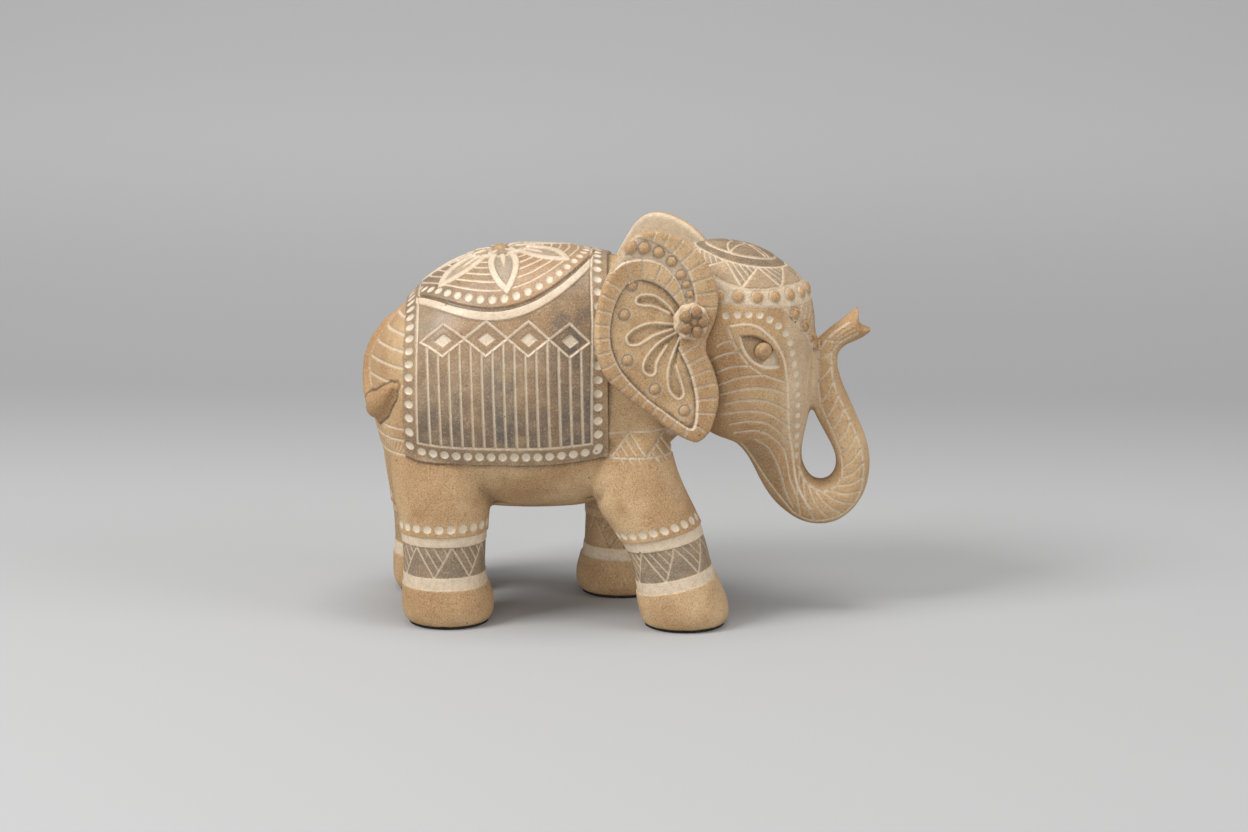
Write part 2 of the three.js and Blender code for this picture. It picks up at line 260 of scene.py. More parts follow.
def diamonds_and_stripes(c, on, u, v):
    """A row of four diamonds, and stripes hanging from them down to the border."""
    middle, half = 52.0, 6.1
    hem = np.full(len(on), middle)
    for k in range(4):
        left, right = diamond_corner(k), diamond_corner(k + 1)
        centre, reach = (left + right) / 2, (right - left) / 2
        size = abs(u - centre) / reach + abs(v - middle) / half
        scale = reach * half / math.hypot(reach, half)
        shape = (size - 1) * scale
        here = ((u > left - 1) & (u < right + 1)).astype(float)
        c.area(on, shape, lift=-0.35, layer="dark", amount=0.5 + 0.16 * k, where=here)
        c.line(on, abs(shape), width=0.75, depth=-0.25, where=here)
        c.area(on, (size - 0.42) * scale, lift=-0.6, layer="cream", where=here)
        hem = np.where((u > left) & (u <= right), middle + half * (1 - abs(u - centre) / reach), hem)
    hanging = ramp(hem - v) * ramp(v - CLOTH_LINE)
    for k in range(15):
        place = -69.4 + 4.15 * k + (v - 56) * 0.022
        c.line(on, abs(u - place), width=0.85, where=hanging)


def diamond_corner(k):
    return -72.0 + 17.25 * k - 0.3 * k * k


def petal_ring(across, down, first, middle, half_length, half_width):
    """Signed distance to seven pointed petals round the medallion's middle."""
    best = np.full(len(across), FAR)
    for k in range(7):
        angle = math.radians(first) + 2 * math.pi * k / 7
        out = across * math.sin(angle) + down * math.cos(angle)
        side = across * math.cos(angle) - down * math.sin(angle)
        best = np.minimum(best, leaf(out - middle, side, half_length, half_width))
    return best


def medallion(c, on, u, v):
    """A round flower on the back. Its first petal leans a little to the front."""
    across, down = (u + 45) * 1.13, v
    r = np.hypot(across, down)
    border = np.maximum(-75.2 - u, u + 8.2)
    on_cloth = ramp(border)
    c.area(on, r - 45.6, lift=0.45, where=on_cloth)
    c.area(on, abs(r - 44) - 1.6, layer="cream", amount=0.9, where=on_cloth)
    c.area(on, r - 42.4, lift=-1.0, where=on_cloth)
    c.area(on, abs(r - 41.7) - 0.7, layer="dark", amount=0.55, where=on_cloth)
    c.area(on, r - 40.8, lift=0.7, where=on_cloth)
    rearward = np.clip(0.5 - across / 40, 0, 1)
    disc = ramp(r - 40.8) * on_cloth
    c.dark[on] = c.dark[on] * (1 - disc) + disc * (0.2 + 0.5 * rearward)
    c.rust[on] = np.maximum(c.rust[on], disc * 0.65 * (1 - rearward))

    ring = np.full(len(on), FAR)
    for k in range(46):
        angle = 2 * math.pi * k / 46
        ring = np.minimum(ring, np.hypot(across - 37.8 * math.sin(angle), down - 37.8 * math.cos(angle)))
    seen = np.nonzero((ring < 3) & (border < 0))[0]
    c.dots(on[seen], ring[seen])

    petals = petal_ring(across, down, 10, 20.5, 16, 6.6)
    cores = petal_ring(across, down, 10, 15, 7.5, 1.1)
    between = ramp(-petals) * on_cloth
    for k in range(6):
        c.line(on, abs(r - 14.6 - 3.9 * k), width=0.8, depth=0.25, where=between)
    c.area(on, petals, lift=0.45, layer="cream", where=on_cloth)
    c.area(on, petals + 2.7, lift=-0.9, layer="dark", amount=0.6, where=on_cloth)
    c.area(on, cores, lift=0.5, layer="cream", where=on_cloth)

    inner = petal_ring(across, down, 36, 8.4, 4.6, 1.9)
    c.area(on, r - 14, lift=0.2, layer="cream")
    c.area(on, r - 12.2, lift=-0.5, layer="dark", amount=0.75)
    c.area(on, inner, lift=0.4, layer="cream")
    c.area(on, r - 4.6, layer="rust", amount=0.8)


def body_bands(c):
    """Lines round the rump and a belt of hatched triangles behind and in front of the cloth."""
    x, y, z = c.points.T
    rump = np.nonzero((x < -78) & (z > 62) & (z < 124))[0]
    u, w, v = x[rump], y[rump], z[rump]
    beside_tail = ramp(2.5 - tail_distance(c.points[rump]))
    behind = ramp(u + 79.2) * beside_tail
    for level in (119.6, 114, 108, 101.8, 95.4):
        c.line(rump, abs(v - level), width=1.0, where=behind * (v > 90))
    low = behind * (v < 90)
    for level in (78.4, 73.9, 68.2):
        c.line(rump, abs(v - level), width=0.8, where=low)
    slant = (u - 0.8 * (v - 71) + np.sign(w) * w * 0.9) % 2.6
    hatch = low * ramp(abs(v - 71) - 2.4)
    c.line(rump, abs(slant - 1.3), width=0.5, depth=0.2, cream=0.7, where=hatch)

    chest = np.nonzero((x > -1.5) & (x < 30) & (z > 62) & (z < 84))[0]
    u, v = x[chest], z[chest]
    reach = ramp(-0.6 - u) * ramp(8 - abs(y[chest]))
    top, bottom, pitch = 77.9, 68.4, 13.4
    for level in (top, bottom):
        c.line(chest, abs(v - level), width=0.8, where=reach)
    rise = (v - bottom) / (top - bottom)
    within = ramp(-0.2 - rise) * ramp(rise - 1.02) * reach
    triangles(c, chest, (u - 0.2) / pitch, rise, within, pitch, top - bottom, width=0.7)


def leg_creases(c):
    """Soft creases where the legs stand out from the belly, with painted shade along them."""
    x, y, z = c.points.T
    on = np.nonzero((abs(y) > 20) & (z > 34) & (z < 72) & (x > -72) & (x < 12))[0]
    u = x[on] + np.where(y[on] > 0, 9, 0)
    for points in ([(-51, 62), (-48.5, 54), (-45.5, 47), (-42.5, 43)], [(-1, 62), (-4, 54), (-9, 46)]):
        away = np.min([segment(u, z[on], a, b) for a, b in zip(points, points[1:])], axis=0)
        soft = np.exp(-((away / 3) ** 2)) * ramp(z[on] - 58, 6)
        c.height[on] -= 0.8 * soft
        # Painted shade: the dark layer darkens the skin along each crease.
        c.paint("dark", on, 0.1 * soft)


def triangles(c, on, place, rise, where, pitch, height, width):
    """Triangles in a row, each filled with three strokes parallel to one of its sides."""
    phase = place - np.floor(place)
    steep = pitch / 2 * height / math.hypot(pitch / 2, height)
    edge = (rise - 1 + abs(phase - 0.5) * 2) * steep
    c.line(on, abs(edge), width=width, where=where)
    filled = where * ramp(edge + 0.3)
    for k in range(1, 4):
        stroke = (rise - 1 + (phase - 0.5) * 2 + 0.5 * k) * steep
        c.line(on, abs(stroke), width=0.6, where=filled)


# Middle line of the tail and its radius there: x, y, z, radius.
TAIL = np.array([
    (-82, 0, 120, 2), (-89.6, 0, 112.4, 2.8), (-94.8, -0.5, 104.3, 3.1), (-96.8, -2, 95.5, 3.1),
    (-96, -6.5, 88, 3.1), (-93.6, -13.4, 83.8, 3.5), (-91.6, -20.2, 84, 4.7), (-88.9, -26.8, 87.4, 4.7),
    (-86, -31.6, 91.8, 2.9), (-84, -34.4, 95, 0.8),
])
TUFT_START = 5  # the point of the tail where the tuft begins


def tail_distance(points, start=0):
    """Distance in space to the skin of the tail, from one of its points on."""
    best = np.full(len(points), FAR)
    for first, second in zip(TAIL[start:], TAIL[start + 1 :]):
        start_point, bone = first[:3], second[:3] - first[:3]
        t = np.clip((points - start_point) @ bone / (bone @ bone), 0, 1)
        radius = first[3] + t * (second[3] - first[3])
        away = np.linalg.norm(points - start_point - t[:, None] * bone, axis=1)
        best = np.minimum(best, away - radius)
    return best


def tail(c):
    """A golden tail in a cream groove, ending in a brown tuft with painted shade in the groove round it."""
    x, _, z = c.points.T
    on = np.nonzero((x < -79) & (z > 74) & (z < 124))[0]
    away = tail_distance(c.points[on])
    tuft = tail_distance(c.points[on], TUFT_START)
    groove = 1.9  # how far outside the tail's skin the groove runs
    c.line(on, abs(away - groove), width=1.5, depth=0.7, cream=0.6, where=ramp(4.2 - tuft, 1))
    c.paint("rust", on, 0.55 * ramp(away - 0.9, 1))
    c.area(on, tuft - 1.3, layer="rust", amount=0.6, soft=0.8)
    c.cream[on] *= 1 - ramp(tuft - 1.3)
    c.line(on, abs(tuft - groove), width=1.0, depth=0.5, cream=0.0)
    # Painted shade: the groove round the tuft is painted dark.
    c.paint("dark", on, 0.4 * ramp(abs(tuft - groove) - 0.5, 0.4))


# ---- Leg patterns ----


LEG_RADIUS = 17


def anklet(c, leg, middle, axis_x, slope, levels):
    """Dots, a cream band, a dark band of hatched triangles and a cream band, round one leg."""
    side = -1 if middle < 0 else 1
    x, y, z = c.points.T
    on = np.nonzero((y * side > 3) & (z < 58) & (x > leg[0]) & (x < leg[1]))[0]
    centre = np.interp(z[on], *axis_x)
    u = x[on] - centre
    w = (y[on] - middle) * side
    level = z[on] - slope * (x[on] - np.interp(40, *axis_x))
    turn = np.arctan2(u, w)
    dot_row, step, dark_top, dark_low, foot = levels

    in_band = ramp(level - step) * ramp(foot - level)
    c.area(on, 1 - 2 * in_band, lift=-0.6)
    c.mark(on, level - step, None)
    c.mark(on, level - foot, None)
    c.paint("cream", on, 0.85 * in_band)
    dark = ramp(level - dark_top) * ramp(dark_low - level)
    c.area(on, 1 - 2 * dark, lift=-0.3, layer="dark", amount=0.82, soft=1)
    c.mark(on, level - dark_top, None)
    c.mark(on, level - dark_low, None)

    dot_pitch = 2 * math.pi / 23
    nearest = (turn / dot_pitch - np.round(turn / dot_pitch)) * dot_pitch * LEG_RADIUS
    c.dots(on, np.hypot(nearest, level - dot_row), radius=1.7)

    # Seven triangles that hang down from the top of the dark band.
    height, pitch = dark_top - dark_low, 2 * math.pi * LEG_RADIUS / 7
    place = turn * 7 / (2 * math.pi) + 0.67
    triangles(c, on, -place, (dark_top - level) / height, dark, pitch, height, width=0.75)

    # On the side that faces the other leg, the paint above the lower band has worn off.
    worn = 0.8 * ramp(w + 5, 5) * ramp(dark_low - level)
    c.cream[on] *= 1 - worn
    c.dark[on] *= 1 - worn


def anklets(c):
    # Heights of the dots, the cream band's top, the dark band's top and foot, the cream band's foot.
    upright = (40.2, 36.8, 32.8, 20.6, 15.8)
    for middle, foot_x in ((-24.5, -64.3), (24.5, -74.0)):
        axis = ([0, 18, 30, 42, 54], [foot_x, foot_x - 1.4, foot_x - 1.5, foot_x - 1.5, foot_x - 1.5])
        anklet(c, (foot_x - 24, foot_x + 22), middle, axis, 0.0, upright)
    striding = ([0, 11, 20, 30, 40, 50, 60], [28, 26.8, 24.1, 21.2, 16.7, 11, 8])
    anklet(c, (-12, 50), -24.5, striding, 0.22, (40.0, 36.6, 32.2, 19.4, 14.6))
    standing = ([0, 17, 30, 60], [0.5, 1.4, 1.9, 2])
    anklet(c, (-20, 22), 24.5, standing, 0.0, upright)


# ---- Head patterns ----

CROWN_X = 48.5  # middle of the cap on the crown
EYE_MIDDLE = (56.5, 108.2)
FACE_LINE = smooth_path([
    (44.4, 118), (50.8, 118.9), (55.4, 117.9), (59.6, 114.6), (63.1, 110.5), (65.8, 104.4),
    (67.1, 96.4), (67.6, 88.3), (68.1, 75.8), (69.4, 66.9), (70.7, 56.4), (72.7, 49.7), (76.7, 42.7),
])
FACE_DOTS = smooth_path([
    (41.5, 122), (48.1, 122.7), (53.1, 122.7), (57.6, 122), (61.8, 119.4), (64.9, 116.5),
    (67.7, 112.3), (69.7, 103.5), (70.9, 95.3), (71.4, 86.3), (71.3, 73), (71.2, 62),
])
# The lower edge of the pale brow band: angle round the crown in degrees, and height.
BROW_EDGE = ([0, 17.6, 35, 44.4, 52, 75, 108, 130], [101.5, 108.2, 115.8, 121, 124.8, 125.8, 127.4, 128])
TRUNK_INNER = smooth_path([
    (71.8, 59.9), (74.6, 53.7), (78.6, 50.3), (83, 49.6), (86.6, 51.6), (88.9, 55.6), (89, 60.5),
    (87.8, 66.4), (84.9, 73.7), (81, 82.4), (79.4, 91.3), (79.2, 101.2), (80.8, 107), (85.5, 112.4),
    (91, 116.4),
])
TRUNK_OUTER = smooth_path([
    (69.6, 41), (76, 37.5), (82.7, 37.6), (90.3, 40.4), (95, 45.6), (97, 51), (97.6, 57.8),
    (96.8, 63.9), (93.9, 73.2), (89.9, 81.8), (85.8, 91.2), (84.5, 99), (84.8, 104.5), (88.4, 108.6),
    (94.5, 112.2),
])


def head_cap(c):
    """A dark ring round a disc on the crown, and a pale band of hatched triangles below it."""
    x, y, z = c.points.T
    on = np.nonzero((x > 14) & (x < 80) & (z > 98))[0]
    out = np.hypot(x[on] - CROWN_X, y[on])
    angle = np.degrees(np.arctan2(abs(y[on]), x[on] - CROWN_X))
    top = ramp(126 - z[on], 1)
    pale = out - 24
    c.area(on, pale, lift=0.3, layer="cream", amount=0.22, where=top)
    c.dark[on] = np.maximum(c.dark[on], 0.35 * ramp(pale) * top)
    c.area(on, out - 17.6, lift=-0.3, layer="dark", amount=0.78, where=top)
    c.line(on, abs(out - 17.7), width=0.85, where=top)
    c.area(on, out - 13.4, lift=0.3, layer="dark", amount=0.45, where=top)
    c.line(on, abs(out - 13.5), width=0.85, where=top)
    crown_figure(c, on, x[on], y[on], out, top)

    turn = np.degrees(np.arctan2(-y[on], x[on] - CROWN_X))
    place = (turn - 8) / 40 + 0.5
    phase = place - np.floor(place)
    rise = (out - 17.9) / 5.9
    band = top * ramp(17.9 - out) * ramp(out - 23.8)
    steep = 4.6
    pointed = (rise - 1 + abs(phase - 0.5) * 2) * steep
    hatched = band * ramp(pointed + 0.2)
    c.dark[on] = c.dark[on] + 0.35 * hatched
    for k in range(1, 5):
        stroke = (rise + (phase - 0.5) * 2 - 1 + 0.42 * k) * steep
        c.line(on, abs(stroke), width=0.55, where=hatched)
    c.line(on, abs(pointed), width=0.75, where=band)
    c.line(on, abs(out - 23.9), width=0.6, depth=0.3, cream=0.4, where=top)

    brow(c, on, z[on], out, angle)


def crown_figure(c, on, u, v, out, top):
    """A tent of two straight lines between two bent ones, the same on both sides."""
    within = ramp(out - 13.4) * top
    for points in (
        [(44.6, 13), (43.6, 9), (43.8, 4), (45.2, 0)],
        [(44.6, 13), (47.5, 6), (50.4, 0)],
        [(50.4, 0), (54, 4.4), (58.4, 9)],
        [(47.6, 0), (53, 1.4), (57, 4.4), (60, 8)],
    ):
        c.line(on, polyline(u, abs(v), smooth_path(points)), width=0.7, where=within)


def brow(c, on, height, out, angle):
    """A pale band of round brown beads over the brow, meeting in a point on the forehead."""
    edge = np.interp(angle, *BROW_EDGE)
    below_cap = ramp(23.8 - out)
    net_foot, head_radius = 124.6, 26
    hem = np.maximum(edge, net_foot)
    c.area(on, np.where(below_cap > 0.5, edge - height, 9), lift=0.4, layer="rust", amount=0.25)
    c.area(on, np.where(below_cap > 0.5, hem - height, 9), layer="cream", amount=0.85)
    c.line(on, abs(height - edge), width=0.95, depth=0.0, where=below_cap)

    along_brow = np.radians(angle) * head_radius
    cells = ramp(height - net_foot) * ramp(edge - height) * below_cap
    for sign in (-1, 1):
        lattice = (height * 0.8 + sign * along_brow) / 4.2
        c.line(on, abs(lattice - np.round(lattice)) * 3.3, width=0.75, where=cells)

    centres = [(8.25 + 16.5 * k, 128.8 + 0.3 * max(k - 4, 0)) for k in range(8)]
    centres += [(place, np.interp(place, *BROW_EDGE) + 3.1) for place in (40, 29, 17, 5)]
    centres = [(math.radians(place) * head_radius, level) for place, level in centres]
    c.beads(on, nearest_dot(along_brow, height, centres), 2.15, 1.35)


def face(c):
    """Dots down the face, the eye, cheek lines and the jaw."""
    x, y, z = c.points.T
    on = np.nonzero((x > 30) & (x < 80) & (z > 36) & (z < 127) & (abs(y) > 3.5))[0]
    u, v = x[on], z[on]
    turned = np.clip((u - 64) / 8, 0, 1)
    stretch = 1 + 0.45 * turned
    dots = np.full(len(on), FAR)
    for cu, cv in evenly(FACE_DOTS, 4.35):
        dots = np.minimum(dots, np.hypot((u - cu) * stretch, v - cv))
    c.dots(on, dots, radius=1.35)
    c.line(on, polyline(u, v, FACE_LINE), width=0.9, depth=-0.2)
    strip = ramp(66 - u, 2) * ramp(abs(y[on]) - 22, 3) * ramp(68 - v, 4)
    c.paint("cream", on, 0.34 * strip * (c.rust[on] < 0.3))
    c.paint("rust", on, 0.4 * ramp(96 - v, 6) * ramp(u - 66, 2) * ramp(v - 125, 2))
    front = smooth_path([(76.2, 104), (74.6, 92), (74.4, 80), (72.6, 70), (72.4, 60)])
    c.line(on, polyline(u, v, front), width=0.6, depth=0.3, cream=0.5)

    eye_socket(c, on, u, v)
    cheek_lines(c, on, u, v)
    jaw = smooth_path([(49.5, 70), (53.5, 64), (57.6, 57.6), (62.9, 50.2), (69.3, 41.8)])
    c.line(on, polyline(u, v, jaw), width=0.8)
    jaw_inner = smooth_path([(55, 72.5), (60.5, 68), (64.4, 59.5), (67.2, 49.5), (70, 43.4)])
    c.line(on, polyline(u, v, jaw_inner), width=0.8)
    panel = np.vstack([jaw, jaw_inner[::-1]])
    c.paint("dark", on[inside(u, v, panel)], 0.28)


def eye_socket(c, on, u, v):
    """An almond recess darkened with painted shade and given a pale rim, inside a larger lid outline."""
    turn = math.radians(-38.7)
    du, dv = u - EYE_MIDDLE[0], v - EYE_MIDDLE[1]
    out = du * math.cos(turn) + dv * math.sin(turn)
    side = dv * math.cos(turn) - du * math.sin(turn)
    almond = leaf(out, side + 0.25 * np.sin(out / 4), 9.8, 4.5)
    # Painted shade: the almond recess is painted dark as well as cut in.
    c.area(on, almond, lift=-1.1, layer="dark", amount=0.3, soft=0.5)
    c.line(on, abs(almond + 0.2), width=1.0, depth=0.0, cream=0.95, where=ramp(side - 0.3, 0.8))
    c.area(on, np.maximum(almond, 4.2 - out), layer="cream", amount=0.7)
    lid = smooth_path([(44.4, 118), (47.1, 111.1), (51.7, 104.1), (56.7, 100), (62.5, 97.3), (67.1, 95.2)])
    c.line(on, polyline(u, v, lid), width=0.8)


def cheek_lines(c, on, u, v):
    for points in (
        [(40.6, 110.7), (43.4, 112.2), (46.3, 112.7)],
        [(37.9, 104.7), (42.5, 107.2), (48.6, 108.5)],
        [(38, 98.9), (45.2, 102.3), (52.6, 103)],
        [(40.7, 94.8), (49.1, 98.3), (57.6, 98.9)],
        [(42, 91.1), (51, 93.7), (59.5, 93.7), (67.3, 90.7)],
        [(43.4, 87.1), (51.1, 89), (59.5, 88.4), (67.8, 84)],
        [(42.2, 82.8), (51.1, 84.5), (59.5, 83.6), (68, 77.6)],
        [(45.3, 78.6), (53, 80.3), (60.7, 78.7), (68.3, 70.6)],
        [(47, 75), (55, 76.3), (60.8, 74), (65.9, 68.3), (67.7, 62), (68.9, 55), (71.5, 48)],
    ):
        c.line(on, polyline(u, v, smooth_path(points)), width=0.8, depth=0.55)


def trunk(c):
    """Two edge lines along each side of the trunk, slanting ribs between them, and a fan at its end."""
    x, y, z = c.points.T
    on = np.nonzero((x > 68) & (z > 33) & (z < 122) & (abs(y) > 2.2))[0]
    u, v = x[on], z[on]
    c.line(on, polyline(u, v, TRUNK_INNER), width=0.75)
    c.line(on, polyline(u, v, TRUNK_OUTER), width=0.75)
    for k in range(17):
        up = 0.04 + 0.056 * k
        slant = 0.18 * min(up / 0.45, 1, (1.02 - up) / 0.27)
        outer, inner = point_at(TRUNK_OUTER, up), point_at(TRUNK_INNER, up - slant)
        bulge = (outer + inner) / 2 + 0.06 * np.array([outer[1] - inner[1], inner[0] - outer[0]])
        c.line(on, polyline(u, v, smooth_path([outer, bulge, inner])), width=0.65)
    for share in (0.3, 0.6):
        strip = []
        for up in (0.9, 0.95, 1):
            strip.append(point_at(TRUNK_INNER, up) * (1 - share) + point_at(TRUNK_OUTER, up) * share)
        c.line(on, polyline(u, v, np.array(strip)), width=0.5, depth=0.3, cream=0.4)


# ---- Ear patterns, in the plane of the ear: u forwards, v up, both from the ear's root ----

EAR_ROOT = np.array([38.0, -28.9, 107.0])
EAR_FLARE, EAR_LEAN = math.radians(18), math.radians(5)
LEFT_EAR_DROP = 2.6
EAR_THICKNESS = 4.6
RIM = [
    (-34.2, 28.8), (-37.9, 23.4), (-40.3, 16), (-40.9, 8.4), (-39.5, 1.6), (-35.4, -5.9),
    (-27.7, -14.2), (-20, -20.4), (-12.2, -26.2), (-9, -27.4), (-7.6, -24), (-7, -17.5),
    (-7.6, -12.2), (-9.6, -4.5), (-13.6, 4),
]
CURL_INNER = [(-34.2, 28.8), (-28.7, 30.9), (-22.9, 29.5), (-17.8, 26.3), (-14, 22), (-11.5, 18)]
CURL_OUTER = [
    (-40, 33.6), (-34.4, 37.2), (-26.6, 38), (-20.7, 36.3), (-16.1, 32.3), (-13.1, 27.6), (-11, 21),
]
UPPER_RIM = [
    (-31, 47.4), (-24.5, 45.5), (-18.7, 42.6), (-13.6, 38.2), (-9.8, 33.5), (-7.6, 27.8),
    (-6.9, 22), (-7.7, 17),
]
EAR_PETALS = [
    [
        (-13, 14.6), (-17.9, 20.6), (-23, 24.3), (-28.8, 24.5), (-30.1, 21.9), (-27.7, 20.7),
        (-23.1, 20.1), (-17, 17.2),
    ],
    [
        (-14, 12.9), (-23.2, 13.9), (-29.1, 12.8), (-33.9, 9.6), (-33.2, 6.2), (-29.2, 6),
        (-23.3, 9.1), (-16, 11.2),
    ],
    [
        (-13.6, 10.4), (-21.4, 6.4), (-26.6, 0.9), (-27.9, -3.6), (-25.6, -6), (-23.2, -5.3),
        (-22.3, -0.8), (-18.4, 5),
    ],
    [
        (-13, 8.5), (-17.6, -2.2), (-18.2, -9.8), (-16.7, -13.7), (-14, -15.7), (-12, -13.9),
        (-12.7, -10.1), (-14.8, -3),
    ],
]
CURL_BEADS = [
    (-32, 42.8, 2.3), (-26.4, 42.3, 2.1), (-20.8, 40.6, 1.9), (-15.8, 36.9, 1.7), (-12.2, 31.7, 1.6),
    (-10.3, 28, 1.4), (-9, 24.2, 1.3),
]
STUDS = [(-31.5, 28.4), (-34.7, 17.5), (-33.8, 0.1), (-23.3, -11.4), (-11.8, -20.2)]


def ear_coordinates(points, side):
    """u, v and the height above the ear's inner face."""
    p = points * [1, -side, 1]
    if side > 0:
        p = p + [0, 0, LEFT_EAR_DROP]
    p = p - EAR_ROOT
    forward = np.array([math.cos(EAR_FLARE), math.sin(EAR_FLARE), 0])
    level = np.array([-math.sin(EAR_FLARE), math.cos(EAR_FLARE), 0])
    up = level * math.sin(EAR_LEAN) + np.array([0, 0, math.cos(EAR_LEAN)])
    outward = np.cross(forward, up)
    return p @ forward, p @ up, p @ outward


def ear_face(c, side):
    u, v, out = ear_coordinates(c.points, side)
    # Painted light: the ear's back (its inner face) is painted pale cream, standing in for bright top light
    # on the far ear's back.
    c.cream[:] = 0.8 * ramp(out - 1.5, 1)
    on = np.nonzero(out > EAR_THICKNESS - 1.6)[0]
    u, v = u[on], v[on]
    curl = smooth_path(CURL_INNER)
    rim = smooth_path(RIM)
    outer_curl = smooth_path(CURL_OUTER)
    upper = smooth_path(UPPER_RIM)

    within = inside(u, v, np.vstack([rim, curl[::-1]]))
    to_field = np.minimum(polyline(u, v, rim), polyline(u, v, curl))
    c.area(on, np.where(within, -to_field, to_field), lift=-1.4, soft=0.45)
    crescent = np.vstack([outer_curl, upper[::-1], [(-38, 43), (-41.5, 37)]])
    hollow = inside(u, v, crescent)
    to_hollow = np.minimum(polyline(u, v, outer_curl), polyline(u, v, upper))
    c.area(on, np.where(hollow, -to_hollow, to_hollow), lift=-1.0, layer="cream", amount=0.6, soft=0.4)
    for path in (rim, curl, outer_curl, upper):
        c.line(on, polyline(u, v, path), width=0.75, depth=-0.15)
    ear_segments(c, on, u, v, rim, curl, upper, within)
    petal_shapes(c, on, u, v)
    for cu, cv in STUDS:
        away = np.hypot(u - cu, v - cv)
        c.area(on, away - 3, lift=-0.1, layer="cream", amount=0.5, soft=0.8)
        c.beads(on, away, 1.9, 1.5)
    for cu, cv, radius in CURL_BEADS:
        c.beads(on, np.hypot(u - cu, v - cv), radius * 1.05, 1.5)


def ear_segments(c, on, u, v, rim, curl, upper, in_field):
    """Browner paint on the rim, and cuts that divide the rim, the curl and the upper rim into blocks."""
    on_rim = ramp(polyline(u, v, rim) - 7) * ~in_field
    c.rust[on] = np.maximum(c.rust[on], 0.4 * on_rim)
    crosscuts(c, on, u, v, rim[::-1], 4.7, (7.5, 7.5))
    crosscuts(c, on, u, v, curl, 4.6, (8.2, 3.2))
    crosscuts(c, on, u, v, upper[4:], 4.8, (8.5, 8.5))


def crosscuts(c, on, u, v, path, pitch, lengths):
    """Short cuts square to a path, on its left side, from the first length to the last."""
    starts = evenly(path, pitch)
    ahead = np.gradient(starts, axis=0)
    ahead /= np.hypot(*ahead.T)[:, None]
    for start, (du, dv), length in zip(starts, ahead, np.linspace(*lengths, len(starts))):
        end = start + length * np.array([-dv, du])
        c.line(on, segment(u, v, start, end), width=0.65, depth=0.6)


def petal_shapes(c, on, u, v):
    """Four teardrop petals spreading from the boss."""
    for points in EAR_PETALS:
        path = smooth_path(points)
        away = polyline(u, v, path)
        c.line(on, away, width=0.8, depth=-0.45)
        c.area(on, np.where(inside(u, v, path), 0.8 - away, 1.0), lift=-0.35, soft=0.6)


BOSS_MIDDLE = (-9.2, 14.0)


def boss_face(c, side):
    """Five brown knobs round a sixth, in a cream setting with a frilled edge."""
    u, v, out = ear_coordinates(c.points, side)
    du, dv = u - BOSS_MIDDLE[0], v - BOSS_MIDDLE[1]
    front = out > EAR_THICKNESS + 0.8
    reach, turn = np.hypot(du, dv), np.arctan2(dv, du)
    c.height += front * ramp(4.8 - reach, 1) * (0.35 + 0.22 * np.cos(9 * turn))
    knobs = []
    for k in range(5):
        angle = math.radians(72 * k)
        knobs.append((3.7 * math.cos(angle), 3.7 * math.sin(angle)))
    away = np.minimum(nearest_dot(du, dv, knobs), reach + 0.7)
    c.height += 0.6 * ramp(away - 1.9, 0.5) - 0.7 * np.clip(1 - abs(away - 2.5) / 0.6, 0, 1)
    on_knob = ramp(away - 2.15) * front
    c.rust[:] = 0.9 * on_knob
    c.dark[:] = 0.3 * on_knob
    c.cream[:] = 0.5 * (1 - on_knob)


# ---- Meshes ----


def added(name, data):
    """A new object in the scene."""
    made = bpy.data.objects.new(name, data)
    bpy.context.scene.collection.objects.link(made)
    return made


def cad_surface(node, voxel):
    """The CAD piece as an even mesh of triangles. Returns points in mm and faces."""
    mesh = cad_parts[node].data.copy()
    welded = bmesh.new()
    welded.from_mesh(mesh)
    bmesh.ops.remove_doubles(welded, verts=welded.verts, dist=1e-6)
    welded.to_mesh(mesh)
    welded.free()
    maker = added("maker", mesh)
    remesh = maker.modifiers.new("even", "REMESH")
    remesh.mode = "VOXEL"
    remesh.voxel_size = voxel * MM
    maker.modifiers.new("triangles", "TRIANGULATE")
    graph = bpy.context.evaluated_depsgraph_get()
    even = bpy.data.meshes.new_from_object(maker.evaluated_get(graph))
    points = np.zeros(len(even.vertices) * 3)
    even.vertices.foreach_get("co", points)
    faces = np.zeros(len(even.loops), np.int32)
    even.loops.foreach_get("vertex_index", faces)
    bpy.data.objects.remove(maker)
    bpy.data.meshes.remove(even)
    bpy.data.meshes.remove(mesh)
    return points.reshape(-1, 3) / MM, faces.reshape(-1, 3).astype(np.int64)


def edges_of(faces):
    """The two ends of every edge, and which three edges each face has."""
    pairs = np.sort(faces[:, [0, 1, 1, 2, 2, 0]].reshape(-1, 2), axis=1)
    count = int(faces.max()) + 1
    keys, which = np.unique(pairs[:, 0] * count + pairs[:, 1], return_inverse=True)
    return keys // count, keys % count, which.reshape(-1, 3)


def edge_counts(a, b, count):
    """How many edges meet at each point."""
    return np.bincount(a, minlength=count) + np.bincount(b, minlength=count)


def neighbour_sum(values, a, b):
    return np.bincount(a, values[b], len(values)) + np.bincount(b, values[a], len(values))


def neighbour_mean(values, a, b, degree):
    total = [neighbour_sum(values[:, k], a, b) for k in (0, 1, 2)]
    return np.column_stack(total) / degree[:, None]


def relaxed(points, faces, rounds):
    """Rounds off the creases. Each inward step is followed by an outward one, so nothing shrinks.

    The tail's tuft and the end of the trunk are left sharper.
    """
    tuft = ramp(tail_distance(points, TUFT_START) - 8, 3)
    trunk_end = ramp(89 - points[:, 0], 3) * ramp(107 - points[:, 2], 3)
    free = (1 - 0.85 * np.maximum(tuft, trunk_end))[:, None]
    a, b, _ = edges_of(faces)
    degree = edge_counts(a, b, len(points))
    for _ in range(rounds):
        for weight in (0.6, -0.62):
            points = points + free * weight * (neighbour_mean(points, a, b, degree) - points)
    return points


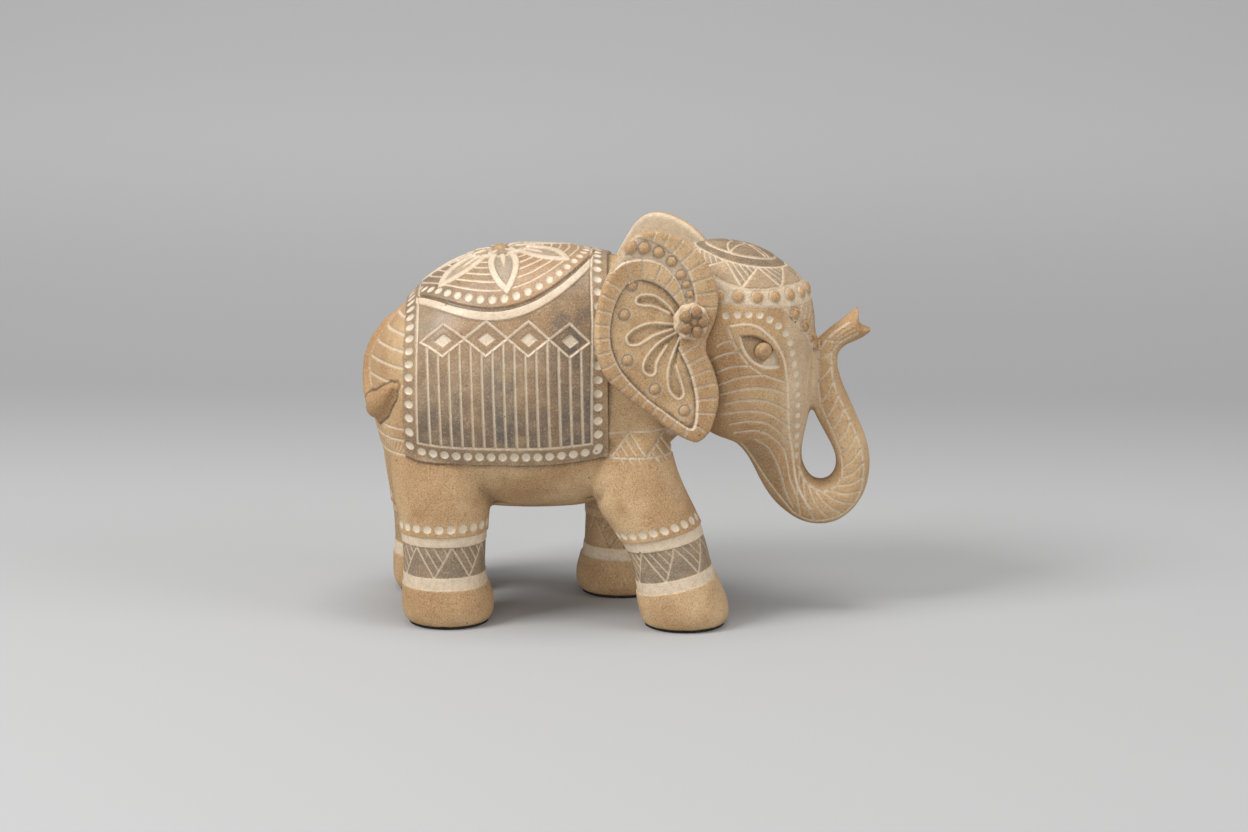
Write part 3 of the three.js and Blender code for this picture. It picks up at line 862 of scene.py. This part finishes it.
def normals_of(points, faces, rounds=2):
    corners = points[faces]
    flat = np.cross(corners[:, 1] - corners[:, 0], corners[:, 2] - corners[:, 0])
    total = np.column_stack(
        [sum(np.bincount(faces[:, k], flat[:, axis], len(points)) for k in (0, 1, 2)) for axis in (0, 1, 2)]
    )
    a, b, _ = edges_of(faces)
    degree = edge_counts(a, b, len(points))
    for _ in range(rounds):
        total = unit(total)
        total = total + neighbour_mean(total, a, b, degree)
    return unit(total)


def unit(vectors):
    return vectors / np.maximum(np.linalg.norm(vectors, axis=1), 1e-12)[:, None]


def refined(points, normals, faces, carve, rounds=4):
    """Splits edges near the cuts, so that the relief and the paint have crisp outlines."""
    for _ in range(rounds):
        a, b, sides = edges_of(faces)
        length = np.linalg.norm(points[a] - points[b], axis=1)
        split = length > FINE * 1.4
        middle = (points[a[split]] + points[b[split]]) / 2
        c = Carving(middle)
        carve(c)
        fine = np.where(middle[:, 1] > 6, FAR_SIDE, FINE)
        wanted = np.clip(fine + 0.75 * (c.edge - 0.45), fine, COARSE)
        split[split] = length[split] > 1.4 * wanted
        if not split.any():
            break
        first, second = a[split], b[split]
        new = np.full(len(a), -1)
        new[split] = len(points) + np.arange(split.sum())
        points = np.vstack([points, (points[first] + points[second]) / 2])
        normals = np.vstack([normals, unit(normals[first] + normals[second])])
        faces = split_faces(faces, new[sides])
    return points, normals, faces


def split_faces(faces, middles):
    """Cuts each face at the middles of its marked edges (-1 where an edge isn't split)."""
    marked = (middles >= 0).sum(1)
    parts = [faces[marked == 0]]
    for turn in range(3):
        a, b, c = np.roll(faces, -turn, axis=1).T
        ab, bc, ca = np.roll(middles, -turn, axis=1).T
        one = (marked == 1) & (ab >= 0)
        parts.append(np.column_stack([a, ab, c])[one])
        parts.append(np.column_stack([ab, b, c])[one])
        two = (marked == 2) & (ab < 0)
        parts.append(np.column_stack([ca, bc, c])[two])
        parts.append(np.column_stack([a, b, bc])[two])
        parts.append(np.column_stack([a, bc, ca])[two])
    a, b, c = faces[marked == 3].T
    ab, bc, ca = middles[marked == 3].T
    for corner in ((a, ab, ca), (ab, b, bc), (ca, bc, c), (ab, bc, ca)):
        parts.append(np.column_stack(corner))
    return np.vstack(parts)


def relief_of(height, faces, rounds=14):
    """How far each point stands above (or, below 0, under) the skin around it, in mm."""
    a, b, _ = edges_of(faces)
    degree = edge_counts(a, b, len(height))
    around = height
    for _ in range(rounds):
        around = neighbour_sum(around, a, b) / degree
    return height - around


def new_mesh(name, points, faces, paint):
    mesh = bpy.data.meshes.new(name)
    mesh.vertices.add(len(points))
    mesh.vertices.foreach_set("co", (points * MM).astype(np.float32).ravel())
    mesh.loops.add(len(faces) * 3)
    mesh.loops.foreach_set("vertex_index", faces.astype(np.int32).ravel())
    mesh.polygons.add(len(faces))
    mesh.polygons.foreach_set("loop_start", np.arange(0, len(faces) * 3, 3, dtype=np.int32))
    mesh.update(calc_edges=True)
    for layer, values in paint.items():
        attribute = mesh.attributes.new(layer, "FLOAT", "POINT")
        attribute.data.foreach_set("value", values.astype(np.float32))
    mesh.shade_smooth()
    return added(name, mesh)


def put_in_place(piece, node):
    """Makes a piece stand for a CAD piece. Everything is on the one body."""
    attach(piece, "root")
    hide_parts(node)


def carved_piece(node, carve, voxel, rounds):
    """Replaces a CAD piece with its carved and painted surface."""
    points, faces = cad_surface(node, voxel)
    points = relaxed(points, faces, rounds)
    normals = normals_of(points, faces)
    points, normals, faces = refined(points, normals, faces, carve)
    c = Carving(points)
    carve(c)
    paint = {"cream": c.cream, "dark": c.dark, "rust": c.rust, "polish": c.polish}
    # The relief sets where the painted shade in recesses and the painted highlight on ridges go.
    paint["relief"] = relief_of(c.height, faces)
    points = points + normals * c.height[:, None]
    piece = new_mesh(f"{node}_carved", points, faces, paint)
    piece.data.materials.append(body_finish)
    put_in_place(piece, node)


def carve_block(c):
    saddle_cloth(c)
    body_bands(c)
    leg_creases(c)
    tail(c)
    anklets(c)
    head_cap(c)
    face(c)
    trunk(c)


# ---- Materials ----


class Shader:
    """Short names for building a node material."""

    def __init__(self, name):
        self.material = bpy.data.materials.new(name)
        self.material.use_nodes = True
        self.tree = self.material.node_tree
        self.surface = self.tree.nodes["Principled BSDF"]

    def node(self, kind, settings=None, **inputs):
        made = self.tree.nodes.new(kind)
        for key, value in (settings or {}).items():
            setattr(made, key, value)
        for key, value in inputs.items():
            socket = made.inputs[int(key[1:])] if key[0] == "_" else made.inputs[key.replace("_", " ")]
            self.feed(socket, value)
        return made.outputs[0]

    def feed(self, socket, value):
        if isinstance(value, bpy.types.NodeSocket):
            self.tree.links.new(value, socket)
        else:
            socket.default_value = value

    def math(self, operation, a, b):
        return self.node("ShaderNodeMath", {"operation": operation, "use_clamp": True}, _0=a, _1=b)

    def place(self):
        return self.node("ShaderNodeTexCoord").node.outputs["Object"]

    def noise(self, scale, detail=2.0, roughness=0.5, stretch=(1, 1, 1)):
        place = self.place()
        if stretch != (1, 1, 1):
            place = self.node("ShaderNodeMapping", None, Vector=place, Scale=stretch)
        settings = {"Scale": scale, "Detail": detail, "Roughness": roughness}
        return self.node("ShaderNodeTexNoise", None, Vector=place, **settings)

    def window(self, value, low, high):
        """0 below low, 1 above high, smooth between."""
        return self.node(
            "ShaderNodeMapRange",
            {"interpolation_type": "SMOOTHSTEP"},
            Value=value, From_Min=low, From_Max=high,
        )

    def mix(self, amount, first, second):
        made = self.tree.nodes.new("ShaderNodeMix")
        made.data_type = "RGBA"
        for socket, value in zip((made.inputs[0], made.inputs[6], made.inputs[7]), (amount, first, second)):
            self.feed(socket, value)
        return made.outputs[2]

    def attribute(self, name):
        made = self.tree.nodes.new("ShaderNodeAttribute")
        made.attribute_name = name
        return made.outputs["Fac"]


TAN = (0.375, 0.225, 0.105, 1)
TAN_LIGHT = (0.52, 0.355, 0.19, 1)
WHITE = (0.575, 0.49, 0.375, 1)
CREAM = (0.63, 0.525, 0.395, 1)
CREAM_WORN = (0.50, 0.39, 0.265, 1)
WASH = (0.085, 0.063, 0.046, 1)
WASH_GOLD = (0.2, 0.115, 0.048, 1)
RUST = (0.30, 0.15, 0.055, 1)
# Colour of the painted shade in the carving's recesses.
RECESS_SHADE = (0.10, 0.062, 0.034, 1)
SPECK_DARK = (0.10, 0.06, 0.03, 1)
SPECK_LIGHT = (0.80, 0.70, 0.54, 1)


def carved_material(name):
    """Sandy wash with cream-filled cuts, a dark wash on the parts painted dark, painted shade in the
    recesses, a painted highlight on raised ridges and a fine speckle.
    """
    s = Shader(name)
    drift = s.window(s.noise(38, 3), 0.35, 0.68)
    tan = s.mix(drift, TAN, TAN_LIGHT)
    blotch = s.window(s.noise(120, 3), 0.5, 0.76)
    tan = s.mix(s.math("MULTIPLY", blotch, 0.4), tan, RUST)

    streaks = s.window(s.noise(55, 3, stretch=(1, 1, 0.22)), 0.42, 0.62)
    uneven = s.window(s.noise(160, 3), 0.3, 0.7)
    dark = s.math("MULTIPLY", s.attribute("dark"), s.math("ADD", 0.68, s.math("MULTIPLY", uneven, 0.45)))
    wash = s.mix(s.math("MULTIPLY", streaks, s.attribute("polish")), WASH, WASH_GOLD)
    colour = s.mix(s.math("MULTIPLY", s.attribute("rust"), 0.85), tan, RUST)
    colour = s.mix(dark, colour, wash)
    relief = s.attribute("relief")
    # Painted shade darkens the carving's recesses, and a painted highlight lightens its raised ridges.
    colour = s.mix(s.math("MULTIPLY", s.window(relief, -0.03, -0.4), 0.85), colour, RECESS_SHADE)
    colour = s.mix(s.math("MULTIPLY", s.window(relief, 0.05, 0.6), 0.35), colour, TAN_LIGHT)

    worn = s.window(s.noise(420, 4), 0.4, 0.7)
    cream = s.mix(s.math("MULTIPLY", worn, 0.6), CREAM, CREAM_WORN)
    colour = s.mix(s.attribute("cream"), colour, cream)
    colour = s.mix(s.window(s.attribute("cream"), 0.87, 0.97), colour, WHITE)

    grains = s.noise(1700, 2, 0.6)
    bare = s.math("SUBTRACT", 1.0, s.math("MULTIPLY", s.attribute("cream"), 0.6))
    flecks = s.math("MULTIPLY", s.window(grains, 0.5, 0.72), bare)
    colour = s.mix(s.math("MULTIPLY", flecks, 0.52), colour, SPECK_DARK)
    colour = s.mix(s.math("MULTIPLY", s.window(grains, 0.46, 0.34), 0.16), colour, SPECK_LIGHT)
    cells = s.node("ShaderNodeTexVoronoi", None, Vector=s.place(), Scale=150)
    pits = s.math("MULTIPLY", s.window(cells, 0.09, 0.05), s.window(s.noise(90, 1), 0.52, 0.56))
    colour = s.mix(s.math("MULTIPLY", pits, 0.75), colour, SPECK_DARK)
    s.feed(s.surface.inputs["Base Color"], colour)

    polish = s.attribute("polish")
    s.feed(s.surface.inputs["Roughness"], s.math("SUBTRACT", 0.85, s.math("MULTIPLY", polish, 0.35)))
    s.feed(s.surface.inputs["Coat Weight"], s.math("MULTIPLY", polish, 0.35))
    s.surface.inputs["Coat Roughness"].default_value = 0.38
    bump = s.node("ShaderNodeBump", None, Strength=0.4, Distance=0.0003, Height=grains)
    s.feed(s.surface.inputs["Normal"], bump)
    return s.material


def plain_material(name, first, second, roughness):
    """Two mottled colours."""
    s = Shader(name)
    s.feed(s.surface.inputs["Base Color"], s.mix(s.window(s.noise(700, 3), 0.35, 0.65), first, second))
    s.feed(s.surface.inputs["Roughness"], roughness)
    bump = s.node("ShaderNodeBump", None, Strength=0.4, Distance=0.0001, Height=s.noise(1400, 2))
    s.feed(s.surface.inputs["Normal"], bump)
    return s.material


def copy_piece(node, material):
    """Shows a CAD piece as it is, smoothly shaded."""
    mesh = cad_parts[node].data.copy()
    mesh.materials.clear()
    mesh.materials.append(material)
    mesh.shade_smooth()
    put_in_place(added(f"{node}_look", mesh), node)


# ---- Building the pieces ----

body_finish = carved_material("sandy carving")
bead_finish = plain_material("brown bead", (0.28, 0.165, 0.075, 1), (0.4, 0.255, 0.12, 1), 0.55)
# A near-black finish for the pads under the four feet.
black_pad_finish = plain_material("black pad", (0.008, 0.008, 0.008, 1), (0.02, 0.019, 0.018, 1), 1.0)
dowel_finish = plain_material("dowel", (0.5, 0.38, 0.22, 1), (0.62, 0.49, 0.3, 1), 0.7)

carved_piece("carved_block", carve_block, voxel=1.15, rounds=18)
for word, side in (("right", -1), ("left", 1)):
    carved_piece(f"ear_{word}", lambda c: ear_face(c, side), voxel=0.8, rounds=6)
    carved_piece(f"ear_boss_{word}", lambda c: boss_face(c, side), voxel=0.35, rounds=3)
    copy_piece(f"eye_bead_{word}", bead_finish)
    copy_piece(f"upper_ear_dowel_{word}", dowel_finish)
    copy_piece(f"lower_ear_dowel_{word}", dowel_finish)
copy_piece("back_finial", bead_finish)
for place in ("hind_right", "hind_left", "front_right", "front_left"):
    copy_piece(f"foot_pad_{place}", black_pad_finish)


# ---- Floor, light and camera ----


def grey_tone(level):
    return (level, level, level, 1)


def backdrop():
    """A sheet of grey paper: a floor that sweeps up behind the elephant and lies flat at both sides."""
    bend, radius, height, reach = 0.42, 0.5, 1.5, 4.0
    profile = [(-reach, 0.0), (bend, 0.0)]
    for k in range(1, 25):
        turn = math.radians(90 * k / 24)
        profile.append((bend + radius * math.sin(turn), radius - radius * math.cos(turn)))
    profile.append((bend + radius, height))
    columns = np.linspace(-reach, reach, 33)
    rise = np.interp(abs(columns), (1.0, 2.2), (1, 0))
    corners = [(x, y, z * share) for y, z in profile for x, share in zip(columns, rise)]
    wide = len(columns)
    quads = []
    for row in range(len(profile) - 1):
        for k in range(row * wide, (row + 1) * wide - 1):
            quads.append((k, k + 1, k + wide + 1, k + wide))
    mesh = bpy.data.meshes.new("backdrop")
    mesh.from_pydata(corners, [], quads)
    mesh.shade_smooth()
    sheet = added("backdrop", mesh)
    s = Shader("grey paper")
    split = s.node("ShaderNodeSeparateXYZ", None, Vector=s.place()).node
    depth, level = split.outputs["Y"], split.outputs["Z"]
    away = s.node("ShaderNodeVectorMath", {"operation": "LENGTH"}, _0=s.place()).node.outputs["Value"]
    # Painted shade: the upright part of the paper is painted darker than the floor.
    grey = s.mix(s.window(level, 0.05, 0.2), grey_tone(0.39), grey_tone(0.35))
    # Painted shade: a darker band along the bend where the floor turns up.
    bend_shade = s.math("MULTIPLY", s.window(depth, 0.15, 0.45), s.window(level, 0.12, 0.01))
    grey = s.mix(bend_shade, grey, grey_tone(0.33))
    # Painted light: the paper far from the elephant is painted much lighter, standing in for light the
    # lamps don't bring there.
    grey = s.mix(s.window(away, 1.1, 3.0), grey, grey_tone(0.85))
    s.feed(s.surface.inputs["Base Color"], grey)
    s.feed(s.surface.inputs["Roughness"], 0.9)
    # From behind, the sheet is see-through, so it doesn't hide the elephant.
    behind = s.node("ShaderNodeNewGeometry").node.outputs["Backfacing"]
    clear = s.node("ShaderNodeBsdfTransparent")
    seen = s.node("ShaderNodeMixShader", None, _0=behind, _1=s.surface.outputs[0], _2=clear)
    s.feed(s.tree.nodes["Material Output"].inputs["Surface"], seen)
    mesh.materials.append(s.material)


def softbox(name, place, aim, size, power):
    light = bpy.data.lights.new(name, "AREA")
    light.shape = "RECTANGLE"
    light.size, light.size_y = size
    light.energy = power
    lamp = added(name, light)
    lamp.location = place
    direction = Vector(aim) - Vector(place)
    lamp.rotation_euler = direction.to_track_quat("-Z", "Y").to_euler()


def studio():
    world = bpy.data.worlds.new("studio")
    bpy.context.scene.world = world
    world.use_nodes = True
    background = world.node_tree.nodes["Background"].inputs
    background["Color"].default_value = (1, 1, 1, 1)
    background["Strength"].default_value = 0.36
    softbox("left", (-0.8, -0.5, 1.0), (0, 0, 0.08), (0.45, 0.45), 13)
    softbox("top", (0.0, -0.05, 1.3), (0, 0, 0.08), (0.6, 0.5), 7.5)
    softbox("front", (-0.3, -1.5, 0.3), (0, 0, 0.03), (0.7, 0.4), 7)
    softbox("right", (1.1, -0.4, 0.7), (0, 0, 0.08), (0.6, 0.5), 6)
    bpy.context.scene.view_settings.view_transform = "Standard"


def camera():
    data = bpy.data.cameras.new("camera")
    data.lens, data.sensor_width = 85, 36
    eye = added("camera", data)
    azimuth, elevation, distance = math.radians(3), math.radians(12), 1.161
    aim = Vector((0.0032, 0, 0.077))
    back = Vector((
        math.sin(azimuth) * math.cos(elevation),
        -math.cos(azimuth) * math.cos(elevation),
        math.sin(elevation),
    ))
    eye.location = aim + back * distance
    eye.rotation_euler = (-back).to_track_quat("-Z", "Y").to_euler()
    bpy.context.scene.camera = eye


backdrop()
studio()
camera()
